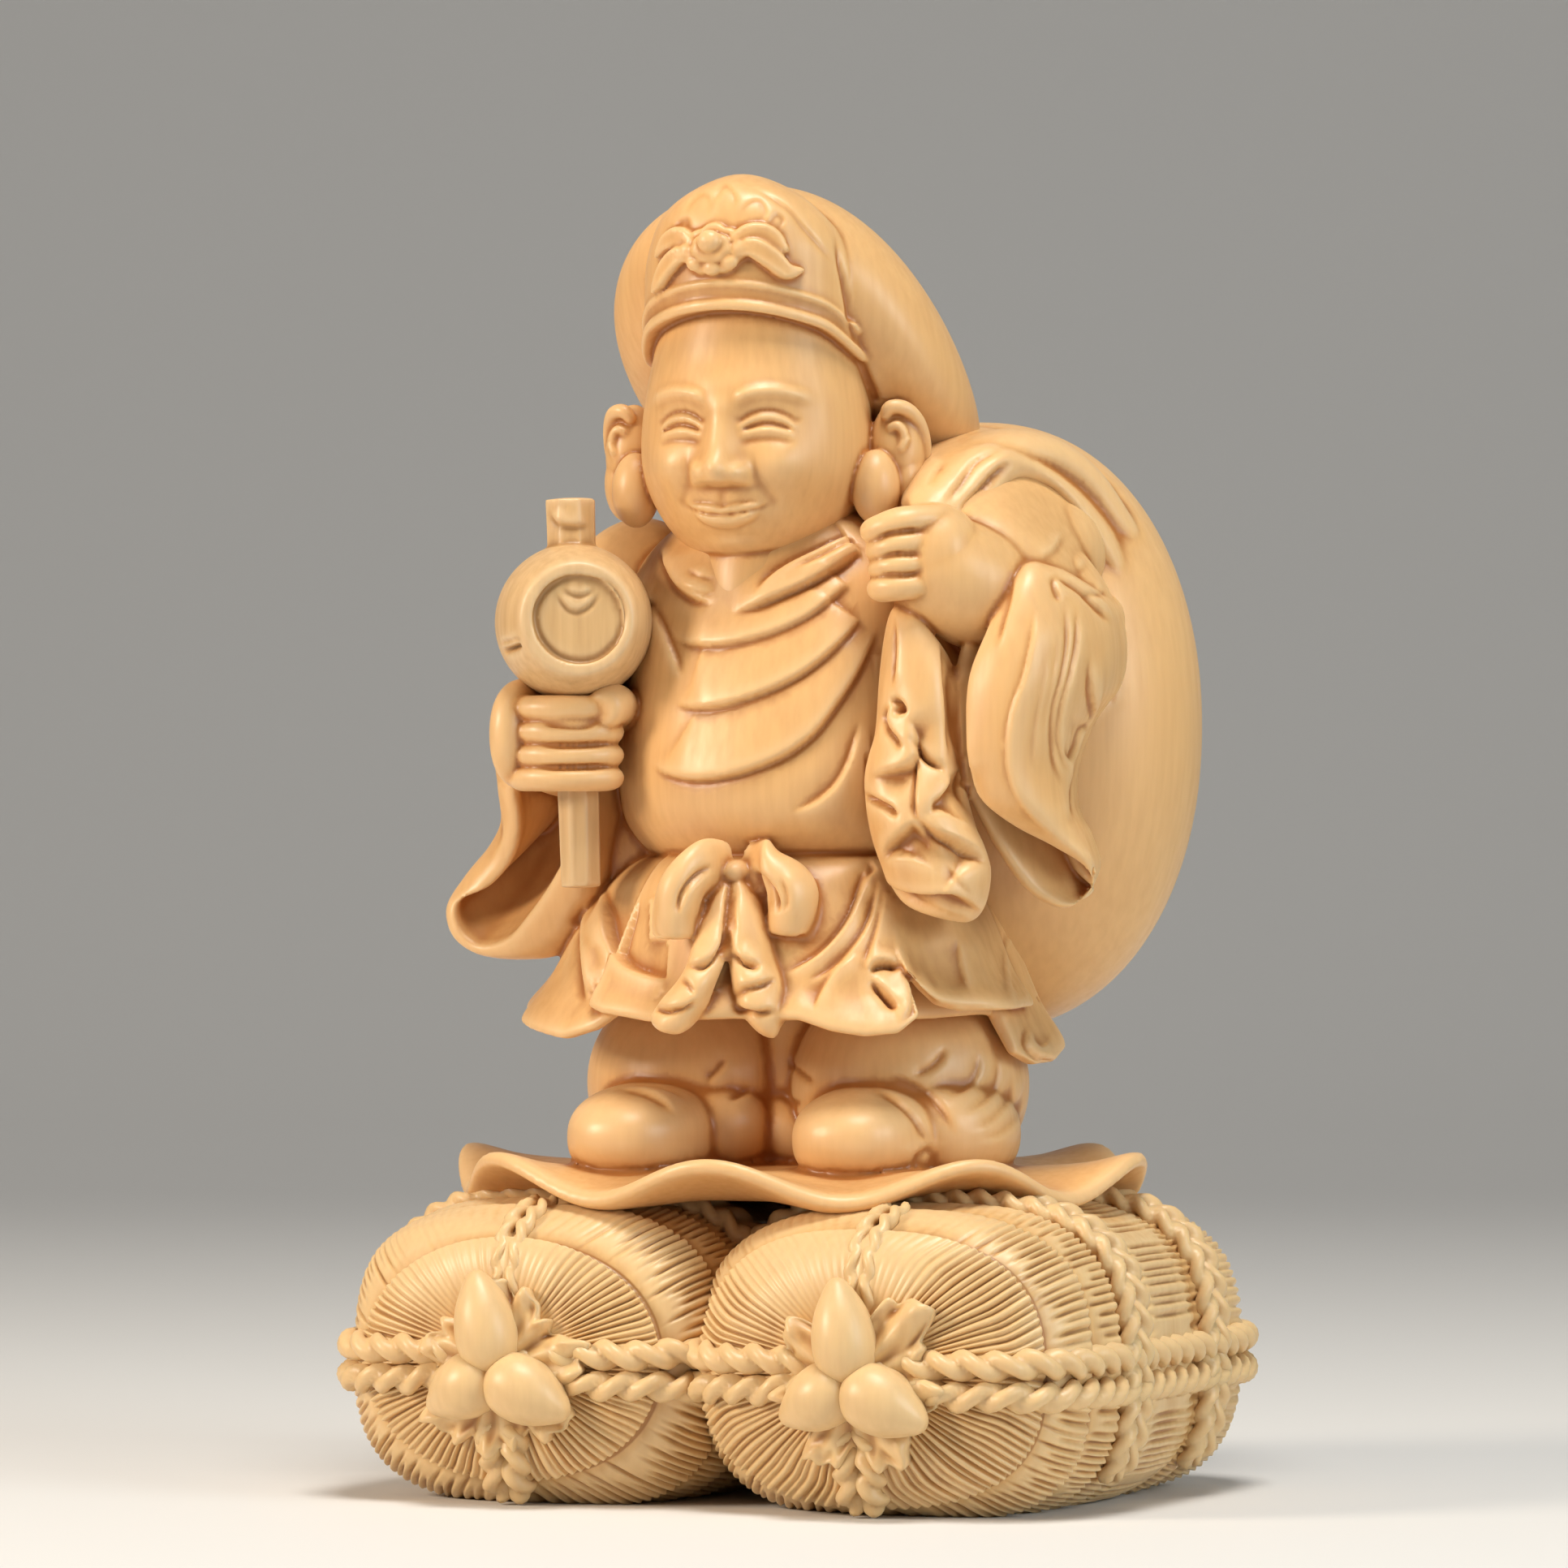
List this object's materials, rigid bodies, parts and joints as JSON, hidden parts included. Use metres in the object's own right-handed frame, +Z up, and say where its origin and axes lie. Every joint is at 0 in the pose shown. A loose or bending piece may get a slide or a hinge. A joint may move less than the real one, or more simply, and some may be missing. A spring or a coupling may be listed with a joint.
{
  "type": "carved wooden figure of a god of fortune on rice bales",
  "caption": "Carved boxwood figure of a stout good-luck god with sack and mallet, on a wavy leaf over roped straw rice bales. Stands by its own weight.",
  "frame": {"origin": "under the middle of the whole carving's box, on the surface that it stands on", "axes": "+Z up, the figure faces -Y, and +X is towards its own left hand, which holds the sack"},
  "size_m": [0.0984, 0.0838, 0.1569],
  "materials": {
    "boxwood": "carved, rubbed to a soft sheen",
    "mallet_wood": "knife-cut, soft sheen",
    "bale_wood": "carved straw and rope, soft sheen"
  },
  "bodies": {
    "root": {"figure": "boxwood", "mallet": "mallet_wood", "rice_bales": "bale_wood"}
  },
  "joints": []
}
